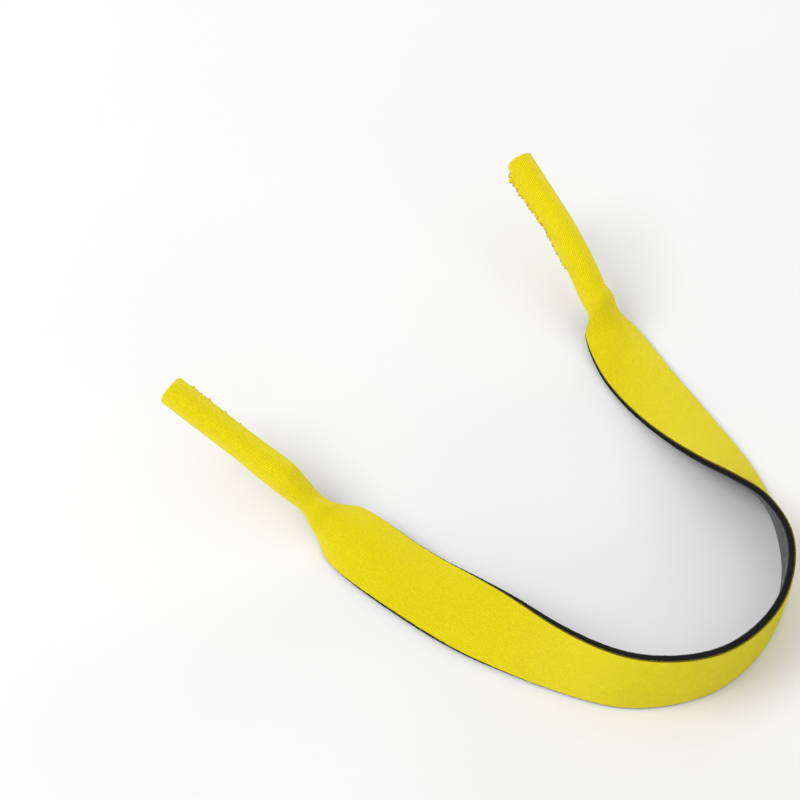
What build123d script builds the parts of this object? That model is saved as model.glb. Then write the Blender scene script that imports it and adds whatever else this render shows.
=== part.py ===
from build123d import *
import math
import os

os.makedirs("parts", exist_ok=True)

# Eyeglass retainer strap: one long bonded strip (yellow knit, black foam, grey lining) lying on a table
# in a U. Its middle stands on its lower edge; towards each end it rolls over until the yellow face is up,
# is gathered into a narrow neck and closed by a stitched seam into a sleeve for a temple tip.
# Frame: +Y from the loop's end towards the sleeve mouths, +Z up, X across, table at Z = 0.

# ---- driving dimensions (mm) ----
strip_t = 2.2          # whole laminate
face_t = 0.42          # yellow knit
lining_t = 0.32        # grey knit
ply_gap = 0.03         # bond line left open between two plies
strip_w = 20.5         # flat width of the strip
sleeve_r = 3.45        # mid-ply radius of a closed sleeve: bore radius 2.35, outside radius 4.55
slit = 354.0           # degrees the strip is curled in a sleeve
closed_arc = math.radians(344.0)   # degrees of ply round a sleeve, the rest is the stitched butt seam
thread_r = 0.32
stitch_pitch = 3.0
stitch_reach = 0.95    # how far a stitch crosses to each side of the seam
seam_length = 40.0
section_step = 6.0     # spacing of loft sections along the strip
sleeve_step = 3.0
neck_step = 2.2        # closer sections where the strip is gathered
centre_x = 0.7         # puts the bounding box centre on the Z axis
centre_y = -83.2

# ---- the strip, from the left mouth round the loop to the right mouth ----
# kind, x, y, z, roll, arc, width
# "tube": x, y, z is the centre of the closed section.  "rest": x, y is the strip's mid-line and z how far
# its lowest edge is held above the table.  roll: 90 = yellow face up, 0 = yellow face outwards.
# arc: degrees the section is curled.  width: flat width of the section.
tube_w = sleeve_r * math.radians(slit)
rows = [
    ("tube", -73.6, 165.1, 29.1, 20, slit, tube_w),
    ("tube", -66.82, 141.7, 20.09, 20, slit, tube_w),
    ("tube", -66.3, 139.9, 19.4, 20, slit, tube_w),
    ("tube", -64.5, 133.2, 16.9, 32, slit, 22.8),
    ("tube", -62.6, 126.3, 14.2, 46, slit, 23.0),
    ("tube", -61.3, 120.9, 11.1, 58, 348, 18.0),
    ("tube", -60.4, 117.0, 8.8, 62, 325, 15.2),
    ("tube", -60.1, 113.4, 7.6, 64, 255, 16.2),
    ("rest", -60.4, 109.4, 0.7, 66, 172, 19.0),
    ("rest", -59.4, 104.8, 0.2, 68, 126, 20.6),
    ("rest", -58.4, 99.8, 0.0, 71, 90, 20.9),
    ("rest", -57.0, 93.8, 0.0, 75, 66, 20.9),
    ("rest", -55.2, 85.6, 0.0, 79, 48, 20.8),
    ("rest", -52.8, 73.8, 0.0, 77, 34, 20.8),
    ("rest", -50.2, 59.8, 0.0, 60, 20, strip_w),
    ("rest", -47.4, 47.4, 0.0, 40, 12, strip_w),
    ("rest", -44.0, 35.8, 0.0, 26, 8, strip_w),
    ("rest", -32.9, 15.2, 0.0, 13, 6, strip_w),
    ("rest", -12.7, 2.2, 0.0, 5, 6, strip_w),
    ("rest", 11.0, 2.3, 0.0, 3, 6, strip_w),
    ("rest", 31.6, 14.4, 0.0, 12, 6, strip_w),
    ("rest", 38.2, 24.9, 0.0, 25, 6, strip_w),
    ("rest", 42.0, 35.8, 0.0, 43, 10, strip_w),
    ("rest", 44.8, 47.2, 0.0, 60, 16, strip_w),
    ("rest", 47.0, 59.3, 0.0, 73, 22, 20.8),
    ("rest", 49.4, 72.0, 0.0, 83, 26, 21.4),
    ("rest", 52.0, 84.0, 0.0, 88, 32, 21.8),
    ("rest", 54.4, 92.5, 0.0, 89, 42, 21.8),
    ("rest", 56.9, 99.4, 0.2, 87, 64, 21.2),
    ("rest", 59.3, 105.0, 1.2, 83, 118, 20.6),
    ("rest", 60.4, 109.4, 3.0, 78, 186, 19.6),
    ("tube", 60.4, 113.4, 10.6, 72, 265, 19.8),
    ("tube", 60.6, 117.5, 13.3, 64, 318, 20.8),
    ("tube", 61.6, 121.6, 16.0, 56, 344, 22.4),
    ("tube", 63.1, 127.0, 18.9, 44, slit, 22.8),
    ("tube", 64.9, 133.9, 21.8, 32, slit, 22.8),
    ("tube", 66.498, 139.585, 24.1, 20, slit, tube_w),
    ("tube", 66.9, 141.4, 24.65, 20, slit, tube_w),
    ("tube", 72.13, 165.0, 31.8, 20, slit, tube_w),
]


def basis(tangent, roll):
    """Width direction and yellow-side normal of a section whose plane is square to the tangent."""
    side = tangent.cross(Vector(0, 0, 1)).normalized()
    up = side.cross(tangent)
    c = math.cos(math.radians(roll))
    s = math.sin(math.radians(roll))
    return up * c - side * s, side * c + up * s


def lowest(width_dir, normal, arc, width):
    """Lowest Z of a curled section, measured from its mid-line point."""
    radius = width / arc
    heights = []
    for i in range(-10, 11):
        a = arc * i / 20
        for r in (radius - strip_t / 2, radius + strip_t / 2):
            heights.append(r * math.sin(a) * width_dir.Z + (r * math.cos(a) - radius) * normal.Z)
    return min(heights)


def tangents(points):
    """Direction of the strip at each point, from its two neighbours."""
    out = []
    for i in range(len(points)):
        a = points[max(i - 1, 0)]
        b = points[i]
        c = points[min(i + 1, len(points) - 1)]
        la = max((b - a).length, 1e-9)
        lc = max((c - b).length, 1e-9)
        out.append(((b - a) * (lc / la) + (c - b) * (la / lc)).normalized())
    return out


def solve_rows():
    """Mid-line point, width direction, normal, arc and width of every row."""
    points = [Vector(x + centre_x, y + centre_y, z if kind == "tube" else 5.0) for kind, x, y, z, *_ in rows]
    for _ in range(3):
        solved = []
        for point, tangent, (kind, x, y, z, roll, arc_deg, width) in zip(points, tangents(points), rows):
            arc = math.radians(arc_deg)
            width_dir, normal = basis(tangent, roll)
            if kind == "tube":
                mid = point + normal * (width / arc)
            else:
                mid = Vector(point.X, point.Y, z - lowest(width_dir, normal, arc, width))
            solved.append((mid, width_dir, normal, arc, width))
        points = [p if row[0] == "tube" else s[0] for p, s, row in zip(points, solved, rows)]
    return solved


solved = solve_rows()
marks = [0.0]
for i in range(1, len(solved)):
    marks.append(marks[-1] + (solved[i][0] - solved[i - 1][0]).length)
strap_length = marks[-1]


def blend_rows(pick, s):
    """Smooth value at distance s along the strip, from the rows on either side."""
    i = 0
    while i < len(marks) - 2 and s > marks[i + 1]:
        i += 1
    values = [pick(row) for row in solved]

    def slope(k):
        lo = max(k - 1, 0)
        hi = min(k + 1, len(marks) - 1)
        if lo == k:
            return (values[hi] - values[k]) * (1 / (marks[hi] - marks[k]))
        if hi == k:
            return (values[k] - values[lo]) * (1 / (marks[k] - marks[lo]))
        da = marks[k] - marks[lo]
        dc = marks[hi] - marks[k]
        fore = (values[hi] - values[k]) * (1 / dc)
        back = (values[k] - values[lo]) * (1 / da)
        return (back * dc + fore * da) * (1 / (da + dc))

    span = marks[i + 1] - marks[i]
    t = (s - marks[i]) / span
    h0 = 2 * t ** 3 - 3 * t ** 2 + 1
    h1 = t ** 3 - 2 * t ** 2 + t
    h2 = -2 * t ** 3 + 3 * t ** 2
    h3 = t ** 3 - t ** 2
    return values[i] * h0 + slope(i) * (h1 * span) + values[i + 1] * h2 + slope(i + 1) * (h3 * span)


def station(s):
    """The section at distance s: centre of curl, width direction, normal, mid radius, arc."""
    mid = blend_rows(lambda row: row[0], s)
    width_dir = blend_rows(lambda row: row[1], s).normalized()
    normal = blend_rows(lambda row: row[2], s)
    normal = (normal - width_dir * normal.dot(width_dir)).normalized()
    arc = blend_rows(lambda row: row[3], s)
    width = blend_rows(lambda row: row[4], s)
    sink = mid.Z + lowest(width_dir, normal, arc, width)
    if sink < 0:
        mid = mid - Vector(0, 0, sink)
    radius = width / arc
    return mid - normal * radius, width_dir, normal, radius, arc


def ply_outline(radius, arc, low, high):
    """Curled cross-section of one ply between two offsets from the mid-ply."""
    def at(r, a):
        return (r * math.sin(a), r * math.cos(a))

    def along(a):
        return (math.cos(a), -math.sin(a))

    steps = 6
    turns = [arc * (i / steps - 0.5) for i in range(steps + 1)]
    outer = [at(radius + high, a) for a in turns]
    inner = [at(radius + low, a) for a in turns]
    top = Spline(*outer, tangents=[along(turns[0]), along(turns[-1])])
    bottom = Spline(*inner, tangents=[along(turns[0]), along(turns[-1])])
    Line(top @ 0, bottom @ 0)
    Line(top @ 1, bottom @ 1)


def ply_arcs(radius, arc, low, high):
    """The same cross-section from true arcs, for a sleeve and its round bore."""
    start = 90 - math.degrees(arc) / 2
    outer = CenterArc((0, 0), radius + high, start, math.degrees(arc))
    inner = CenterArc((0, 0), radius + low, start, math.degrees(arc))
    Line(outer @ 0, inner @ 0)
    Line(outer @ 1, inner @ 1)


# ---- regions of the strip: where it stays stiff and where it flexes ----
neck_l = (marks[5], marks[8])
neck_r = (marks[30], marks[33])
bend_l = (marks[16], marks[17])
bend_r = (marks[19] + 12.0, marks[21])
regions = [
    ("left_sleeve", 0.0, neck_l[0]),
    ("left_neck", neck_l[0], neck_l[1]),
    ("left_branch", neck_l[1], bend_l[0]),
    ("left_bend", bend_l[0], bend_l[1]),
    ("loop", bend_l[1], bend_r[0]),
    ("right_bend", bend_r[0], bend_r[1]),
    ("right_branch", bend_r[1], neck_r[0]),
    ("right_neck", neck_r[0], neck_r[1]),
    ("right_sleeve", neck_r[1], strap_length),
]
half = strip_t / 2
plies = [
    ("face", half - face_t, half),
    ("core", -half + lining_t + ply_gap, half - face_t - ply_gap),
    ("lining", -half, -half + lining_t),
]


def section_plane(s):
    """Plane of the section at distance s, with its radius and arc."""
    centre, width_dir, normal, radius, arc = station(s)
    plane = Plane(origin=centre, x_dir=width_dir, z_dir=width_dir.cross(normal))
    return plane, radius, min(arc, closed_arc)


for region, start, end in regions:
    sleeve = region.endswith("sleeve")
    if region == "left_sleeve":
        mouth = start
        start = marks[1]
    if region == "right_sleeve":
        mouth = end
        end = marks[-2]
    step = section_step
    if sleeve:
        step = sleeve_step
    if region.endswith("neck"):
        step = neck_step
    count = round((end - start) / step)
    sections = [section_plane(start + (end - start) * i / count) for i in range(count + 1)]
    if sleeve:
        near = 0 if region == "left_sleeve" else -1
        mouth_plane, mouth_radius, mouth_arc = section_plane(mouth)
        inward = mouth_plane.z_dir
        if inward.dot(sections[near][0].origin - mouth_plane.origin) < 0:
            inward = -inward
        straight = abs(mouth - (start if near == 0 else end))
        root_plane = Plane(origin=mouth_plane.origin + inward * straight, x_dir=mouth_plane.x_dir,
                           z_dir=mouth_plane.z_dir)
        sections[near] = (root_plane, mouth_radius, mouth_arc)
    outline = ply_arcs if sleeve else ply_outline
    for ply, low, high in plies:
        with BuildPart() as strip:
            for plane, radius, arc in sections:
                with BuildSketch(plane):
                    with BuildLine():
                        outline(radius, arc, low, high)
                    make_face()
            loft()
            if sleeve:
                with BuildSketch(mouth_plane):
                    with BuildLine():
                        outline(mouth_radius, mouth_arc, low, high)
                    make_face()
                extrude(amount=straight, dir=inward)
        strip.part.label = f"{region}_{ply}"
        export_step(strip.part, f"parts/{region}_{ply}.step")


# ---- whip-stitched seam thread along the inner side of each sleeve ----
def seam_path(s_mouth, direction):
    """Zigzag across the seam, standing just clear of the knit."""
    points = []
    count = int(seam_length / stitch_pitch)
    for i in range(2 * count + 1):
        centre, width_dir, normal, radius, arc = station(s_mouth + direction * (2.5 + i * stitch_pitch / 2))
        reach = radius + half + thread_r + 0.14
        a = math.pi + (1 if i % 2 else -1) * stitch_reach / reach
        points.append(centre + width_dir * (reach * math.sin(a)) + normal * (reach * math.cos(a)))
    return points


for side, s_mouth, direction in (("left", 0.0, 1), ("right", strap_length, -1)):
    stitches = seam_path(s_mouth, direction)
    with BuildPart() as thread:
        with BuildLine() as zigzag:
            Polyline(*stitches)
        with BuildSketch(Plane(origin=stitches[0], z_dir=stitches[1] - stitches[0])):
            Circle(thread_r)
        sweep(transition=Transition.ROUND)
    thread.part.label = f"{side}_seam_thread"
    export_step(thread.part, f"parts/{side}_seam_thread.step")
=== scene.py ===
import math

import bpy
import numpy as np
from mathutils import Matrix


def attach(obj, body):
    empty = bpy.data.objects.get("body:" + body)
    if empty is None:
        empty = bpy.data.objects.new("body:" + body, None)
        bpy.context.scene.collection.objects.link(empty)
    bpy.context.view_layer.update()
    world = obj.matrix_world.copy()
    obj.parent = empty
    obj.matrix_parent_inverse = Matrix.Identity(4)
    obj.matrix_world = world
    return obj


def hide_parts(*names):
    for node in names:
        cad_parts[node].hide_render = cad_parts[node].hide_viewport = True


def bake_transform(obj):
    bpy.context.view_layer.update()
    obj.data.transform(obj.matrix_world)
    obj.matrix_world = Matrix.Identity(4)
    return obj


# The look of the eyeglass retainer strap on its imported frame: a strip of yellow knit, black foam and grey
# knit lining, lying in a U, with whip-stitched sleeves at both ends. Lengths are in millimetres until a
# mesh is made, and the frame is the CAD frame: table at Z = 0, +Y towards the sleeve mouths.

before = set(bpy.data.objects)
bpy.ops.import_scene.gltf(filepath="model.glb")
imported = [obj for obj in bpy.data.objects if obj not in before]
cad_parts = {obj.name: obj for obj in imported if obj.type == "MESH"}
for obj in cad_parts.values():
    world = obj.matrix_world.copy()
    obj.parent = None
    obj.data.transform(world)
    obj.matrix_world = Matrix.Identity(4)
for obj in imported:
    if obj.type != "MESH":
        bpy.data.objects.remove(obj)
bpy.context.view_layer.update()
MM = 0.001

# ---- the strip's route and section, as in the CAD source ----
STRIP_T = 2.2
STRIP_W = 20.5
SLEEVE_R = 3.45
SLIT = 354.0
CENTRE = (0.7, -83.2)
TUBE_W = SLEEVE_R * math.radians(SLIT)
ROWS = [
    ("tube", -73.6, 165.1, 29.1, 20, SLIT, TUBE_W),
    ("tube", -66.82, 141.7, 20.09, 20, SLIT, TUBE_W),
    ("tube", -66.3, 139.9, 19.4, 20, SLIT, TUBE_W),
    ("tube", -64.5, 133.2, 16.9, 32, SLIT, 22.8),
    ("tube", -62.6, 126.3, 14.2, 46, SLIT, 23.0),
    ("tube", -61.3, 120.9, 11.1, 58, 348, 18.0),
    ("tube", -60.4, 117.0, 8.8, 62, 325, 15.2),
    ("tube", -60.1, 113.4, 7.6, 64, 255, 16.2),
    ("rest", -60.4, 109.4, 0.7, 66, 172, 19.0),
    ("rest", -59.4, 104.8, 0.2, 68, 126, 20.6),
    ("rest", -58.4, 99.8, 0.0, 71, 90, 20.9),
    ("rest", -57.0, 93.8, 0.0, 75, 66, 20.9),
    ("rest", -55.2, 85.6, 0.0, 79, 48, 20.8),
    ("rest", -52.8, 73.8, 0.0, 77, 34, 20.8),
    ("rest", -50.2, 59.8, 0.0, 60, 20, STRIP_W),
    ("rest", -47.4, 47.4, 0.0, 40, 12, STRIP_W),
    ("rest", -44.0, 35.8, 0.0, 26, 8, STRIP_W),
    ("rest", -32.9, 15.2, 0.0, 13, 6, STRIP_W),
    ("rest", -12.7, 2.2, 0.0, 5, 6, STRIP_W),
    ("rest", 11.0, 2.3, 0.0, 3, 6, STRIP_W),
    ("rest", 31.6, 14.4, 0.0, 12, 6, STRIP_W),
    ("rest", 38.2, 24.9, 0.0, 25, 6, STRIP_W),
    ("rest", 42.0, 35.8, 0.0, 43, 10, STRIP_W),
    ("rest", 44.8, 47.2, 0.0, 60, 16, STRIP_W),
    ("rest", 47.0, 59.3, 0.0, 73, 22, 20.8),
    ("rest", 49.4, 72.0, 0.0, 83, 26, 21.4),
    ("rest", 52.0, 84.0, 0.0, 88, 32, 21.8),
    ("rest", 54.4, 92.5, 0.0, 89, 42, 21.8),
    ("rest", 56.9, 99.4, 0.2, 87, 64, 21.2),
    ("rest", 59.3, 105.0, 1.2, 83, 118, 20.6),
    ("rest", 60.4, 109.4, 3.0, 78, 186, 19.6),
    ("tube", 60.4, 113.4, 10.6, 72, 265, 19.8),
    ("tube", 60.6, 117.5, 13.3, 64, 318, 20.8),
    ("tube", 61.6, 121.6, 16.0, 56, 344, 22.4),
    ("tube", 63.1, 127.0, 18.9, 44, SLIT, 22.8),
    ("tube", 64.9, 133.9, 21.8, 32, SLIT, 22.8),
    ("tube", 66.498, 139.585, 24.1, 20, SLIT, TUBE_W),
    ("tube", 66.9, 141.4, 24.65, 20, SLIT, TUBE_W),
    ("tube", 72.13, 165.0, 31.8, 20, SLIT, TUBE_W),
]


def unit(v):
    return v / np.linalg.norm(v, axis=-1, keepdims=True)


def lowest(width_dir, normal, arc, width):
    """Lowest Z of a curled section, measured from its mid-line point. Works on arrays of sections."""
    radius = (width / arc)[..., None]
    a = arc[..., None] * np.linspace(-0.5, 0.5, 21)
    low = np.full(np.shape(arc), np.inf)
    for r in (radius - STRIP_T / 2, radius + STRIP_T / 2):
        z = r * np.sin(a) * width_dir[..., 2:3] + (r * np.cos(a) - radius) * normal[..., 2:3]
        low = np.minimum(low, z.min(-1))
    return low


def solve_rows():
    arc = np.radians([r[5] for r in ROWS])
    width = np.array([r[6] for r in ROWS])
    roll = np.radians([r[4] for r in ROWS])
    tube = np.array([r[0] == "tube" for r in ROWS])
    given = np.array([r[1:4] for r in ROWS], float) + [CENTRE[0], CENTRE[1], 0]
    points = given.copy()
    points[~tube, 2] = 5.0
    for _ in range(3):
        ahead = np.diff(points, axis=0)
        la = np.linalg.norm(ahead, axis=1, keepdims=True)
        tangent = np.empty_like(points)
        tangent[1:-1] = unit(ahead[:-1] * la[1:] / la[:-1] + ahead[1:] * la[:-1] / la[1:])
        tangent[0] = ahead[0] / la[0]
        tangent[-1] = ahead[-1] / la[-1]
        side = unit(np.cross(tangent, [0, 0, 1]))
        up = np.cross(side, tangent)
        c, s = np.cos(roll)[:, None], np.sin(roll)[:, None]
        width_dir, normal = up * c - side * s, side * c + up * s
        mid = given + normal * (width / arc)[:, None]
        rest = given.copy()
        rest[:, 2] = given[:, 2] - lowest(width_dir, normal, arc, width)
        mid[~tube] = rest[~tube]
        points = np.where(tube[:, None], given, mid)
    return mid, width_dir, normal, arc, width


solved = solve_rows()
marks = np.concatenate([[0], np.cumsum(np.linalg.norm(np.diff(solved[0], axis=0), axis=1))])
strap_length = marks[-1]


def blend_rows(values, s):
    """Smooth values at distances s along the strip, from the rows on either side."""
    values = values.reshape(len(marks), -1)
    rate = np.diff(values, axis=0) / np.diff(marks)[:, None]
    slope = np.empty_like(values)
    slope[0], slope[-1] = rate[0], rate[-1]
    da, dc = np.diff(marks)[:-1, None], np.diff(marks)[1:, None]
    slope[1:-1] = (rate[1:] * da + rate[:-1] * dc) / (da + dc)
    i = np.clip(np.searchsorted(marks, s, side="left") - 1, 0, len(marks) - 2)
    span = (marks[i + 1] - marks[i])[:, None]
    t = (s - marks[i])[:, None] / span
    out = values[i] * (2 * t ** 3 - 3 * t ** 2 + 1) + slope[i] * (t ** 3 - 2 * t ** 2 + t) * span
    return out + values[i + 1] * (-2 * t ** 3 + 3 * t ** 2) + slope[i + 1] * (t ** 3 - t ** 2) * span


def stations(s):
    """Sections at distances s: centre of curl, width direction, normal, mid radius, arc."""
    mid = blend_rows(solved[0], s)
    width_dir = unit(blend_rows(solved[1], s))
    normal = blend_rows(solved[2], s)
    normal = unit(normal - width_dir * (normal * width_dir).sum(1, keepdims=True))
    arc = blend_rows(solved[3], s)[:, 0]
    width = blend_rows(solved[4], s)[:, 0]
    sink = np.minimum(mid[:, 2] + lowest(width_dir, normal, arc, width), 0)
    mid[:, 2] -= sink
    radius = width / arc
    return mid - normal * radius[:, None], width_dir, normal, radius, arc


# ---- small irregularities, the same on both sides of every border between regions ----
def ragged(s, seed, shortest=0.9, longest=7.0):
    """Irregular curve of s, between about -1 and 1."""
    gen = np.random.default_rng(seed)
    total = np.zeros_like(s)
    for k in range(9):
        wave = longest * (shortest / longest) ** (k / 8)
        stretch, phase = gen.uniform(0.85, 1.15), gen.uniform(0, 6.3)
        total = total + np.sin(2 * math.pi * s / wave * stretch + phase) * gen.uniform(0.5, 1)
    return total / 3.2


def smooth(x, low, high):
    t = np.clip((x - low) / (high - low), 0, 1)
    return t * t * (3 - 2 * t)


# ---- stitches of the two seams: distance from the mouth and how hard each pulls ----
STITCH_PITCH = 3.0
STITCH_REACH = 0.95
STITCHES = 14
STITCH_SLANT = 0.9     # how far along a stitch lands on the other side of the seam
HOLE_R = 0.27
HOLE_DEPTH = 0.34
MOUND_RISE = 0.62
GROOVE_DEPTH = 0.12
RIB_PITCH = 0.42


def stitch_places(side):
    gen = np.random.default_rng(11 if side == "left" else 12)
    at = 2.5 + STITCH_PITCH * np.arange(STITCHES) + gen.uniform(-0.35, 0.35, STITCHES)
    pull = gen.uniform(0.8, 1.2, STITCHES) * np.where(np.arange(STITCHES) % 2 == 0, 1.55, 0.75)
    return at, pull * np.linspace(1.15, 0.7, STITCHES)


SEAMS = {"left": stitch_places("left"), "right": stitch_places("right")}


def ridge(from_mouth, q):
    """Raised seam allowance: proud at the mouth, dying away towards the neck."""
    proud = 0.28 + 1.05 * (1 - smooth(from_mouth, 4.0, 30.0))
    ends = smooth(from_mouth, 0.2, 4.5) * (1 - smooth(from_mouth, 39.0, 45.0))
    return proud * ends * np.exp(-(q / 1.35) ** 2)


def seam_relief(s, a, surface):
    """Height the knit gains or loses beside a seam: mounds between stitches, a groove, needle holes."""
    left = s[:, None] < strap_length / 2
    out = np.zeros((len(s), a.shape[1]))
    q = (math.pi - np.abs(a)) * surface
    for side, from_mouth in (("left", s), ("right", strap_length - s)):
        here = left if side == "left" else ~left
        at, pull = SEAMS[side]
        x = from_mouth[:, None]
        mound = np.zeros_like(out)
        for k in range(STITCHES - 1):
            middle = (at[k] + at[k + 1] + STITCH_SLANT) / 2
            mound = mound + pull[k] * np.exp(-((x - middle) / 0.75) ** 2)
        end = smooth(x, at[0] - 2.2, at[0] - 0.4) * (1 - smooth(x, at[-1] + 1.0, at[-1] + 3.5))
        mounds = MOUND_RISE * mound * np.exp(-((q - 0.55) / 1.05) ** 2)
        groove = GROOVE_DEPTH * end * np.exp(-(q / 0.3) ** 2)
        relief = ridge(x, q) + mounds - groove
        for k in range(STITCHES):
            for sign, dx in ((-1, 0.0), (1, STITCH_SLANT)):
                apart = ((x - at[k] - dx) / HOLE_R) ** 2 + ((q - STITCH_REACH) / HOLE_R) ** 2
                relief = relief - HOLE_DEPTH * (np.sign(a) == sign) * np.exp(-apart)
        out = np.where(here, relief, out)
    return out


# ---- one ply of one region as a closed mesh ----
def corner(radius, steps):
    t = np.linspace(0, math.pi / 2, steps)
    return list(zip(radius * np.sin(t) - radius, radius * np.cos(t) - radius))


PLIES = {
    # show: the side that is seen, +1 outwards; high and low: offsets from the mid-ply
    # columns: points across the show side; coarse: how many of them the hidden side skips
    "face": {"show": 1, "high": 1.10, "low": 0.66, "columns": 197, "coarse": 7},
    "core": {"show": 1, "high": 0.66, "low": -0.78, "columns": 61, "coarse": 3},
    "lining": {"show": -1, "high": -0.76, "low": -1.10, "columns": 121, "coarse": 4},
}


def rim_points(ply, s, sign, closed):
    """Offsets past the half width, and heights, round a cut edge from the show side to the hidden side."""
    loose = 1 - closed
    seed = {"face": 20, "core": 40, "lining": 60}[ply] + (5 if sign > 0 else 0)
    out = []
    if ply == "face":
        wander = (0.11 * ragged(s, seed) - 0.20) * loose
        hem = 0.13 * ragged(s, seed + 1, 0.7, 5.0) * loose
        for du, dv in corner(0.26, 5):
            out.append((du + wander, 1.10 + dv + 0 * s))
        out.append((wander, 0.72 + 0.5 * hem))
        out.append((wander - 0.05, 0.58 + hem))
        out.append((-0.30 + 0 * s, 0.64 + 0 * s))
    elif ply == "core":
        heights = [0.66, 0.61, 0.42, 0.18, -0.08, -0.34, -0.58, -0.73, -0.78]
        insets = [-0.20, -0.07, -0.03, -0.01, 0.0, -0.01, -0.03, -0.07, -0.20]
        for k, (v, du) in enumerate(zip(heights, insets)):
            pore = 0.055 * ragged(s, seed + 10 + k, 0.6, 2.2) * loose if 0 < k < 8 else 0 * s
            swell = 0.30 * loose if 1 < k < 7 else 0 * s
            out.append((du + pore + swell, v + 0 * s))
    else:
        wander = 0.07 * ragged(s, seed) * loose
        for du, dv in corner(0.16, 4):
            out.append((du + wander, -1.10 - dv + 0 * s))
        out.append((wander - 0.03, -0.80 + 0 * s))
        out.append((-0.25 + 0 * s, -0.76 + 0 * s))
    return np.array([p[0] for p in out]).T, np.array([p[1] for p in out]).T


def ply_rings(ply, s, mouth):
    """Points of every closed section of a ply, and the cloth coordinates (along, across) of each point."""
    spec = PLIES[ply]
    centre, width_dir, normal, radius, arc = stations(s)
    closed = smooth(np.degrees(arc), 336, 352)
    half = radius * arc / 2
    reach = arc / 2 + closed * (math.pi - arc / 2 - 0.006)
    show = spec["high"] if spec["show"] > 0 else spec["low"]
    hidden = spec["low"] if spec["show"] > 0 else spec["high"]
    right = rim_points(ply, s, 1, closed)
    left = rim_points(ply, s, -1, closed)
    fine = np.linspace(-1, 1, spec["columns"])
    step = spec["coarse"]
    rough = fine[step:-step][::-1][::step]
    lead = half + right[0][:, 0]
    fine_u = fine[None, :] * lead[:, None]
    fine_v = np.full_like(fine_u, show)
    rough_u = rough[None, :] * lead[:, None]
    rough_v = np.full_like(rough_u, hidden)
    right_u = half[:, None] + right[0][:, 1:]
    left_u = -half[:, None] - left[0][:, :0:-1]
    u = np.concatenate([fine_u, right_u, rough_u, left_u], 1)
    v = np.concatenate([fine_v, right[1][:, 1:], rough_v, left[1][:, :0:-1]], 1)
    a = u / half[:, None] * reach[:, None]
    across = u / half[:, None] * STRIP_W / 2
    relief = seam_relief(s, a, (radius + 1.1)[:, None]) * closed[:, None]
    if ply == "face":
        rib = np.cos(2 * math.pi * (across / RIB_PITCH + 0.16 * ragged(s, 3, 6.0, 40.0)[:, None]))
        outer = smooth(v, 0.95, 1.09)
        v = v + 0.012 * rib * outer + relief * smooth(v, 0.5, 1.0)
        seam = closed[:, None] * np.exp(-(((math.pi - np.abs(a)) * (radius + 1.1)[:, None]) / 0.16) ** 2)
        v = v - 0.10 * seam * outer
    if ply == "core":
        v = v + relief * smooth(v, 0.0, 0.6) * 0.9
    if ply == "lining":
        rib = np.cos(2 * math.pi * across / RIB_PITCH)
        v = v + 0.012 * rib * (1 - smooth(v, -1.09, -0.98))
    along = np.repeat(s[:, None], u.shape[1], 1)
    if mouth is not None:
        depth = np.abs(s - mouth)[:, None]
        if ply == "face":
            round_end = 0.34 - np.sqrt(np.clip(0.34 ** 2 - np.clip(0.34 - depth, 0, None) ** 2, 0, None))
            v = v - round_end * smooth(v, 0.75, 1.05)
    r = radius[:, None] + v
    points = centre[:, None] + width_dir[:, None] * (r * np.sin(a))[..., None]
    points = points + normal[:, None] * (r * np.cos(a))[..., None]
    if mouth is not None:
        outward = unit(centre[0] - centre[-1])
        if abs(s[0] - mouth) > 1e-6:
            outward = -outward
        trim = {"face": 0.16, "core": 0.0, "lining": 0.05}[ply]
        wavy = 0.10 * np.sin(3 * a[:1] + 1.0) + 0.05 * np.sin(11 * a[:1] + (0.5 if ply == "face" else 2.0))
        end = 1 - smooth(np.abs(s - mouth), 0.0, 2.0)
        if ply == "core":
            wavy = 0.5 * wavy
        points = points + outward * (end[:, None] * (trim + wavy))[..., None]
    count = (len(fine), right[0].shape[1] - 1, len(rough), left[0].shape[1] - 1)
    return points, along, across, count


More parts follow.
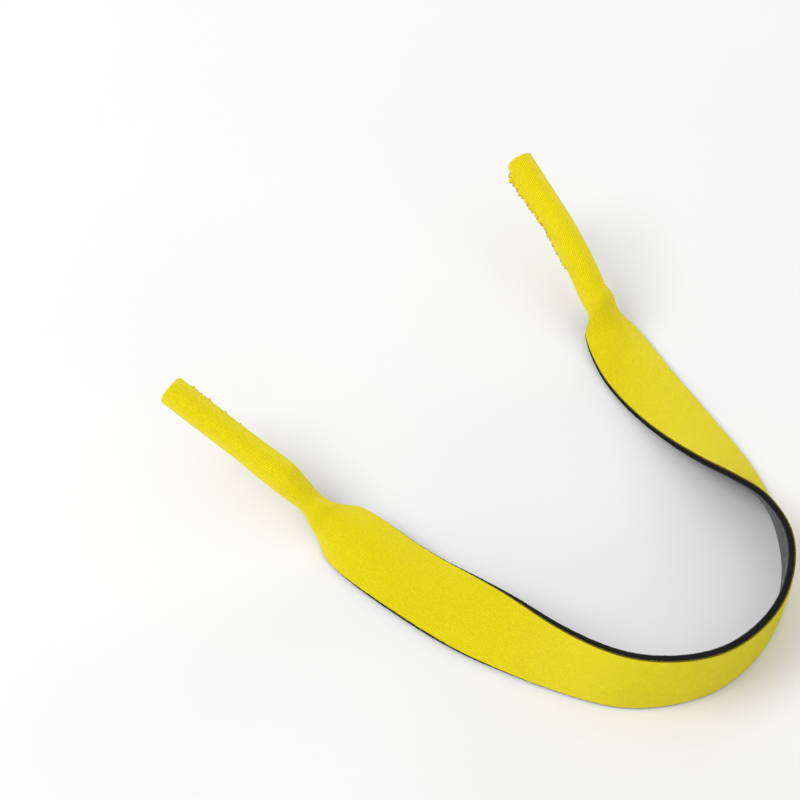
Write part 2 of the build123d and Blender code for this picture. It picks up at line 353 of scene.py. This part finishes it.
def ring_mesh(name, points, along, across, count):
    """Closed mesh from sections: quads between sections and a cap over each end, with sharp cap borders."""
    n, k = points.shape[:2]
    index = np.arange(n * k).reshape(n, k)
    nxt = np.roll(index, -1, axis=1)
    quads = np.stack([index[:-1], nxt[:-1], nxt[1:], index[1:]], -1).reshape(-1, 4)
    nf, nr, nc, _ = count
    caps = []
    for row, flip in ((index[0], True), (index[-1], False)):
        fine = row[:nf]
        rough = row[nf + nr - 1: nf + nr + nc + 1][::-1]
        cuts = np.linspace(0, nf - 1, len(rough)).round().astype(int)
        for j in range(len(rough) - 1):
            top = list(fine[cuts[j]: cuts[j + 1] + 1])
            caps.append((top + [rough[j + 1], rough[j]])[:: -1 if flip else 1])
        right = [fine[-1]] + list(row[nf: nf + nr])
        left = [row[nf + nr + nc]] + list(row[nf + nr + nc + 1:]) + [fine[0]]
        for poly in (right, left):
            if len(poly) > 2:
                caps.append(poly[:: -1 if flip else 1])
    faces = quads.tolist() + [[int(i) for i in c] for c in caps]
    mesh = bpy.data.meshes.new(name)
    mesh.from_pydata((points.reshape(-1, 3) * MM).tolist(), [], faces)
    mesh.validate()
    layer = mesh.uv_layers.new(name="cloth")
    loops = np.empty(len(mesh.loops), np.int32)
    mesh.loops.foreach_get("vertex_index", loops)
    uv = np.stack([along.ravel()[loops], across.ravel()[loops]], 1)
    layer.data.foreach_set("uv", uv.astype(np.float32).ravel())
    mesh.shade_smooth()
    ends = set(index[0].tolist()), set(index[-1].tolist())
    pairs = np.empty(len(mesh.edges) * 2, np.int32)
    mesh.edges.foreach_get("vertices", pairs)
    pairs = pairs.reshape(-1, 2)
    sharp = np.zeros(len(pairs), bool)
    for end in ends:
        inside = np.isin(pairs, list(end)).all(1)
        sharp |= inside
    attribute = mesh.attributes.get("sharp_edge") or mesh.attributes.new("sharp_edge", "BOOLEAN", "EDGE")
    attribute.data.foreach_set("value", sharp)
    obj = bpy.data.objects.new(name, mesh)
    bpy.context.scene.collection.objects.link(obj)
    return obj


# ---- materials ----
class Nodes:
    """Short hand for building a shader out of nodes."""

    def __init__(self, name):
        self.material = bpy.data.materials.new(name)
        self.material.use_nodes = True
        self.tree = self.material.node_tree
        self.shader = self.tree.nodes["Principled BSDF"]

    def add(self, kind, **values):
        node = self.tree.nodes.new(kind)
        for key, value in values.items():
            setattr(node, key, value)
        return node

    def wire(self, source, target):
        self.tree.links.new(source, target)

    def math(self, operation, *inputs, clamp=False):
        node = self.add("ShaderNodeMath", operation=operation, use_clamp=clamp)
        for socket, value in zip(node.inputs, inputs):
            if isinstance(value, (int, float, np.floating)):
                socket.default_value = value
            else:
                self.wire(value, socket)
        return node.outputs[0]

    def noise(self, vector, scale, detail=2.0, rough=0.5):
        node = self.add("ShaderNodeTexNoise")
        node.inputs["Scale"].default_value = scale
        node.inputs["Detail"].default_value = detail
        node.inputs["Roughness"].default_value = rough
        self.wire(vector, node.inputs["Vector"])
        return node.outputs["Fac"]

    def combine(self, x, y):
        node = self.add("ShaderNodeCombineXYZ")
        for socket, value in zip(node.inputs, (x, y)):
            self.wire(value, socket)
        return node.outputs[0]

    def mix(self, factor, a, b):
        node = self.add("ShaderNodeMix", data_type="RGBA")
        self.wire(factor, node.inputs["Factor"])
        for name, value in (("A", a), ("B", b)):
            socket = [i for i in node.inputs if i.name == name and i.type == "RGBA"][0]
            if isinstance(value, tuple):
                socket.default_value = (*value, 1)
            else:
                self.wire(value, socket)
        return [o for o in node.outputs if o.type == "RGBA"][0]

    def bump(self, height, distance, strength):
        node = self.add("ShaderNodeBump")
        node.inputs["Distance"].default_value = distance
        node.inputs["Strength"].default_value = strength
        self.wire(height, node.inputs["Height"])
        self.wire(node.outputs["Normal"], self.shader.inputs["Normal"])


def knit(name, groove, crown, worn, sheen, sheen_tint, rough, relief, streak):
    """Jersey knit: lengthwise wales of V stitches, uneven along the yarn, blackened where it is cut. The
    base colour also carries painted shade in the grooves between stitches and painted light on their
    crowns.
    """
    n = Nodes(name)
    cloth = n.add("ShaderNodeUVMap", uv_map="cloth")
    split = n.add("ShaderNodeSeparateXYZ")
    n.wire(cloth.outputs["UV"], split.inputs[0])
    along, across = split.outputs[0], split.outputs[1]
    drift = n.noise(cloth.outputs["UV"], 0.35, 3.0, 0.6)
    wale = n.math("ADD", n.math("DIVIDE", across, RIB_PITCH), n.math("MULTIPLY", drift, 1.5))
    away = n.math("MULTIPLY", n.math("ABSOLUTE", n.math("SUBTRACT", n.math("FRACT", wale), 0.5)), 2.0)
    rib = n.math("SUBTRACT", 1.0, n.math("POWER", away, 2.2))
    course = n.math("ADD", n.math("DIVIDE", along, 0.47), n.math("MULTIPLY", away, 0.55))
    course = n.math("ADD", course, n.math("MULTIPLY", drift, 2.0))
    loop = n.math("MULTIPLY_ADD", n.math("COSINE", n.math("MULTIPLY", course, 2 * math.pi)), 0.5, 0.5)
    height = n.math("MULTIPLY", rib, n.math("MULTIPLY_ADD", loop, 0.42, 0.58))
    fibre = n.noise(cloth.outputs["UV"], 9.0, 3.0, 0.7)
    height = n.math("ADD", height, n.math("MULTIPLY", fibre, 0.30))
    lengthwise = n.combine(n.math("MULTIPLY", along, 0.55), n.math("MULTIPLY", across, 2.6))
    yarn = n.noise(lengthwise, 1.0, 4.0, 0.62)
    patchy = n.noise(cloth.outputs["UV"], 0.05, 1.0, 0.5)
    speckled = n.combine(n.math("MULTIPLY", along, 1.7), n.math("MULTIPLY", across, 2.4))
    slub = n.noise(speckled, 1.0, 2.0, 0.6)
    # painted shade and light: the stitch height darkens the grooves and lightens the crowns; yarn, slub and
    # patchy noise are the yarn's own uneven tone
    tone = n.math("MULTIPLY_ADD", height, 0.55, n.math("MULTIPLY", n.math("SUBTRACT", yarn, 0.5), streak))
    tone = n.math("ADD", tone, n.math("MULTIPLY", n.math("SUBTRACT", slub, 0.5), 1.9 * streak))
    tone = n.math("ADD", tone, n.math("MULTIPLY_ADD", patchy, 0.16, 0.10), clamp=True)
    broken = n.math("MULTIPLY_ADD", slub, 1.2, -0.1, clamp=True)
    # painted shade: darker again between the wales, away from each wale's middle, more where the slub is
    # strong; the groove colour is the yarn in painted shade, the crown colour the yarn in painted light
    painted_groove_shade = n.math("SUBTRACT", 1.0, n.math("MULTIPLY", away, broken))
    colour = n.mix(n.math("MULTIPLY", tone, painted_groove_shade, clamp=True), groove, crown)
    edge = n.math("SUBTRACT", n.math("ABSOLUTE", across), STRIP_W / 2 - 0.44)
    fray = n.math("MULTIPLY_ADD", fibre, 1.3, 0.3)
    edge = n.math("MULTIPLY", n.math("MULTIPLY", edge, 7.0, clamp=True), fray, clamp=True)
    from_middle = n.math("ABSOLUTE", n.math("SUBTRACT", along, (marks[8] + marks[30]) / 2))
    edge = n.math("MULTIPLY", edge, n.math("LESS_THAN", from_middle, (marks[30] - marks[8]) / 2 + 2.0))
    colour = n.mix(edge, colour, worn)
    n.wire(colour, n.shader.inputs["Base Color"])
    n.wire(n.math("MULTIPLY_ADD", height, -0.14, rough, clamp=True), n.shader.inputs["Roughness"])
    n.shader.inputs["Sheen Weight"].default_value = sheen
    n.shader.inputs["Sheen Roughness"].default_value = 0.45
    n.shader.inputs["Sheen Tint"].default_value = (*sheen_tint, 1)
    n.shader.inputs["Specular IOR Level"].default_value = 0.10
    n.bump(height, relief * MM, 1.0)
    return n.material


def foam(name):
    """Cut closed-cell foam: tiny open cells and a slightly torn skin. The base colour is darker in each
    cell's hollow, as painted shade, and varies with the grain.
    """
    n = Nodes(name)
    place = n.add("ShaderNodeTexCoord").outputs["Object"]
    cells = n.add("ShaderNodeTexVoronoi")
    cells.inputs["Scale"].default_value = 3600.0
    n.wire(place, cells.inputs["Vector"])
    grain = n.noise(place, 1500.0, 4.0, 0.65)
    height = n.math("ADD", cells.outputs["Distance"], n.math("MULTIPLY", grain, 0.8))
    # painted shade: the hollow of each cell is darker, with grain noise on top
    tone = n.math("MULTIPLY", height, 0.8, clamp=True)
    n.wire(n.mix(tone, (0.0015, 0.0015, 0.0018), (0.010, 0.0095, 0.0095)), n.shader.inputs["Base Color"])
    n.wire(n.math("MULTIPLY_ADD", grain, 0.2, 0.72, clamp=True), n.shader.inputs["Roughness"])
    n.shader.inputs["Specular IOR Level"].default_value = 0.12
    n.bump(height, 0.07 * MM, 0.8)
    return n.material


def thread_finish(name):
    """Spun polyester thread: fine twisted filaments. The base colour is darker in the grooves between
    filaments, as painted shade, and uneven with the fuzz.
    """
    n = Nodes(name)
    cloth = n.add("ShaderNodeUVMap", uv_map="cloth")
    split = n.add("ShaderNodeSeparateXYZ")
    n.wire(cloth.outputs["UV"], split.inputs[0])
    lay = n.math("MULTIPLY", split.outputs[0], 9.0)
    turn = n.math("ADD", lay, n.math("MULTIPLY", split.outputs[1], 6 * math.pi))
    filament = n.math("MULTIPLY_ADD", n.math("SINE", turn), 0.5, 0.5)
    fuzz = n.noise(cloth.outputs["UV"], 14.0, 3.0, 0.6)
    height = n.math("ADD", n.math("MULTIPLY", filament, 0.6), n.math("MULTIPLY", fuzz, 0.5))
    # painted shade: the grooves between filaments take the darker colour, the filament tops the lighter one
    n.wire(n.mix(height, (0.50, 0.40, 0.006), (0.80, 0.70, 0.04)), n.shader.inputs["Base Color"])
    n.wire(n.math("MULTIPLY_ADD", fuzz, 0.25, 0.42, clamp=True), n.shader.inputs["Roughness"])
    n.shader.inputs["Sheen Weight"].default_value = 0.3
    n.shader.inputs["Sheen Tint"].default_value = (1.0, 0.95, 0.55, 1)
    n.bump(height, 0.03 * MM, 0.7)
    return n.material


# knit arguments: groove colour (the yarn in painted shade), crown colour (the yarn in painted light),
# cut-edge colour, sheen and its tint, roughness, relief (mm), streak
FINISH = {
    "face": knit("yellow_knit", (0.58, 0.44, 0.002), (1.0, 0.87, 0.003), (0.05, 0.043, 0.006), 1.0,
                 (1.0, 0.90, 0.10), 0.72, 0.14, 0.6),
    "core": foam("black_foam"),
    "lining": knit("grey_knit", (0.022, 0.023, 0.025), (0.085, 0.087, 0.092), (0.05, 0.05, 0.052), 0.25,
                   (0.8, 0.82, 0.86), 0.9, 0.08, 0.4),
    "thread": thread_finish("seam_thread"),
}

# ---- the nine regions of the strip ----
REGIONS = [
    ("left_sleeve", 0.0, marks[5], 0.24),
    ("left_neck", marks[5], marks[8], 0.34),
    ("left_branch", marks[8], marks[16], 0.55),
    ("left_bend", marks[16], marks[17], 0.55),
    ("loop", marks[17], marks[19] + 12.0, 0.55),
    ("right_bend", marks[19] + 12.0, marks[21], 0.55),
    ("right_branch", marks[21], marks[30], 0.55),
    ("right_neck", marks[30], marks[33], 0.34),
    ("right_sleeve", marks[33], strap_length, 0.24),
]
FLEX = {
    "left_neck": ("left_branch", "left_sleeve", -1),
    "left_bend": ("loop", "left_branch", -1),
    "right_bend": ("loop", "right_branch", 1),
    "right_neck": ("right_branch", "right_sleeve", 1),
}


def flex_ends(points, towards):
    """Where the region's bending starts and ends: points just past its two end sections, along the line
    between their middles.
    """
    first, last = (points[0], points[-1]) if towards > 0 else (points[-1], points[0])
    origin = first.mean(0)
    way = unit(last.mean(0) - origin)
    start = ((first - origin) @ way).max() + 0.05
    end = ((last - origin) @ way).min() - 0.05
    assert start < end, "bend region too short"
    return tuple((origin + way * start) * MM), tuple((origin + way * end) * MM)


for region, begin, finish, pitch in REGIONS:
    s = np.linspace(begin, finish, int(round((finish - begin) / pitch)) + 1)
    mouth = {"left_sleeve": 0.0, "right_sleeve": strap_length}.get(region)
    ends = None
    _, _, _, radius, arc = stations(s)
    for ply in PLIES:
        points, along, across, count = ply_rings(ply, s, mouth)
        piece = ring_mesh(f"{region}_{ply}_visual", points, along, across, count)
        piece.data.materials.append(FINISH[ply])
        if region in FLEX:
            a, b, towards = FLEX[region]
            if ends is None:
                ends = flex_ends(points, towards)
            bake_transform(piece)
        else:
            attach(piece, region)
        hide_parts(f"{region}_{ply}")


# ---- seam threads ----
def catmull(points, per_span):
    p = np.vstack([2 * points[0] - points[1], points, 2 * points[-1] - points[-2]])
    out = []
    for i in range(1, len(p) - 2):
        t = np.linspace(0, 1, per_span, endpoint=False)[:, None]
        a, b, c, d = p[i - 1], p[i], p[i + 1], p[i + 2]
        bend = (2 * a - 5 * b + 4 * c - d) * t ** 2
        out.append(0.5 * (2 * b + (c - a) * t + bend + (3 * b - a - 3 * c + d) * t ** 3))
    return np.vstack(out + [p[-2][None]])


def thread_mesh(name, side):
    """Whip stitches: over the seam, down through a hole, slanting back underneath to the next one."""
    at, pull = SEAMS[side]
    route = []
    for k in range(STITCHES):
        route += [(at[k] - 0.05, -STITCH_REACH, -0.62), (at[k], -STITCH_REACH + 0.02, -0.10),
                  (at[k] + 0.12, -0.70, 0.24), (at[k] + 0.45, 0.0, 0.40), (at[k] + 0.78, 0.70, 0.24),
                  (at[k] + 0.90, STITCH_REACH - 0.02, -0.10), (at[k] + 0.95, STITCH_REACH, -0.62)]
        if k < STITCHES - 1:
            gap = at[k + 1] - at[k]
            route += [(at[k] + 0.4 * gap + 0.6, 0.45, -0.98), (at[k] + 0.75 * gap + 0.2, -0.45, -0.98)]
    route = np.array(route)
    s = route[:, 0] if side == "left" else strap_length - route[:, 0]
    centre, width_dir, normal, radius, arc = stations(s)
    surface = radius + 1.1
    a = math.pi + route[:, 1] / surface
    r = surface + route[:, 2] + ridge(route[:, 0], np.abs(route[:, 1]))
    path = centre + width_dir * (r * np.sin(a))[:, None] + normal * (r * np.cos(a))[:, None]
    path = catmull(path, 7)
    run = np.concatenate([[0], np.cumsum(np.linalg.norm(np.diff(path, axis=0), axis=1))])
    tangent = unit(np.gradient(path, axis=0))
    side_dir = unit(np.cross(tangent, [0.31, 0.2, 0.93]))
    for i in range(1, len(path)):
        v = side_dir[i - 1] - tangent[i] * (side_dir[i - 1] @ tangent[i])
        side_dir[i] = v / np.linalg.norm(v)
    other = np.cross(tangent, side_dir)
    phi = np.linspace(0, 2 * math.pi, 18, endpoint=False)
    lobes = 0.235 * (0.86 + 0.14 * np.cos(3 * (phi[None, :] - run[:, None] * 4.2)))
    points = path[:, None] + side_dir[:, None] * (lobes * np.cos(phi))[..., None]
    points = points + other[:, None] * (lobes * np.sin(phi))[..., None]
    n, k = points.shape[:2]
    index = np.arange(n * k).reshape(n, k)
    nxt = np.roll(index, -1, axis=1)
    quads = np.stack([index[:-1], nxt[:-1], nxt[1:], index[1:]], -1).reshape(-1, 4).tolist()
    mesh = bpy.data.meshes.new(name)
    ends = [index[0][::-1].tolist(), index[-1].tolist()]
    mesh.from_pydata((points.reshape(-1, 3) * MM).tolist(), [], quads + ends)
    layer = mesh.uv_layers.new(name="cloth")
    loops = np.empty(len(mesh.loops), np.int32)
    mesh.loops.foreach_get("vertex_index", loops)
    uv = np.stack([run[loops // k], phi[loops % k] / (2 * math.pi)], 1)
    layer.data.foreach_set("uv", uv.astype(np.float32).ravel())
    mesh.shade_smooth()
    obj = bpy.data.objects.new(name, mesh)
    bpy.context.scene.collection.objects.link(obj)
    return obj


for side in ("left", "right"):
    thread = thread_mesh(f"{side}_seam_thread_visual", side)
    thread.data.materials.append(FINISH["thread"])
    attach(thread, f"{side}_sleeve")
    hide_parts(f"{side}_seam_thread")


# ---- table, light and camera ----
def table_finish():
    n = Nodes("table")
    place = n.add("ShaderNodeNewGeometry").outputs["Position"]
    faint = n.noise(place, 9.0, 3.0, 0.5)
    n.wire(n.mix(faint, (0.80, 0.80, 0.805), (0.82, 0.82, 0.825)), n.shader.inputs["Base Color"])
    n.shader.inputs["Roughness"].default_value = 0.7
    n.shader.inputs["Specular IOR Level"].default_value = 0.2
    n.bump(n.noise(place, 700.0, 3.0, 0.5), 0.02 * MM, 0.4)
    return n.material


bpy.ops.mesh.primitive_grid_add(x_subdivisions=8, y_subdivisions=8, size=4.0, location=(0, 0, 0))
table = bpy.context.active_object
table.name = "table_top"
table.data.materials.append(table_finish())

world = bpy.data.worlds.new("studio")
bpy.context.scene.world = world
world.use_nodes = True
world.node_tree.nodes["Background"].inputs["Color"].default_value = (0.97, 0.985, 1.0, 1)
world.node_tree.nodes["Background"].inputs["Strength"].default_value = 0.46


def softbox(name, place, aim, size, power, colour):
    light = bpy.data.lights.new(name, "AREA")
    light.shape = "RECTANGLE"
    light.size, light.size_y = size
    light.energy = power
    light.color = colour
    lamp = bpy.data.objects.new(name, light)
    bpy.context.scene.collection.objects.link(lamp)
    lamp.location = place
    way = np.array(aim, float) - np.array(place, float)
    pitch = math.atan2(math.hypot(way[0], way[1]), -way[2])
    lamp.rotation_euler = (pitch, 0, math.atan2(way[1], way[0]) - math.pi / 2)


NEUTRAL = (1, 1, 1)
WARM = (1.0, 0.99, 0.97)
FAINTLY_WARM = (1.0, 0.995, 0.98)
# name, place, aimed at, size (all metres), watts, colour
SOFTBOXES = [
    ("overhead", (0.1, 0.15, 1.5), (0.05, 0, 0), (2.6, 2.6), 9.0, NEUTRAL),
    ("key", (-0.85, 0.70, 1.15), (0, 0, 0), (0.9, 0.8), 14.0, WARM),
    ("rim", (1.25, 0.75, 0.30), (0, 0, 0.01), (1.0, 0.4), 7.5, NEUTRAL),
    ("fill", (-0.45, -1.80, 0.50), (0, 0, 0), (1.8, 0.7), 13.5, FAINTLY_WARM),
]
for box in SOFTBOXES:
    softbox(*box)

camera = bpy.data.objects.new("camera", bpy.data.cameras.new("camera"))
bpy.context.scene.collection.objects.link(camera)
camera.location = (-0.1773, -0.1362, 0.3223)
camera.rotation_euler = (math.radians(37.9), 0, math.radians(-41.87))
camera.data.lens = 56.9
camera.data.sensor_width = 36
camera.data.clip_start = 0.01
bpy.context.scene.camera = camera
bpy.context.scene.view_settings.view_transform = "Standard"
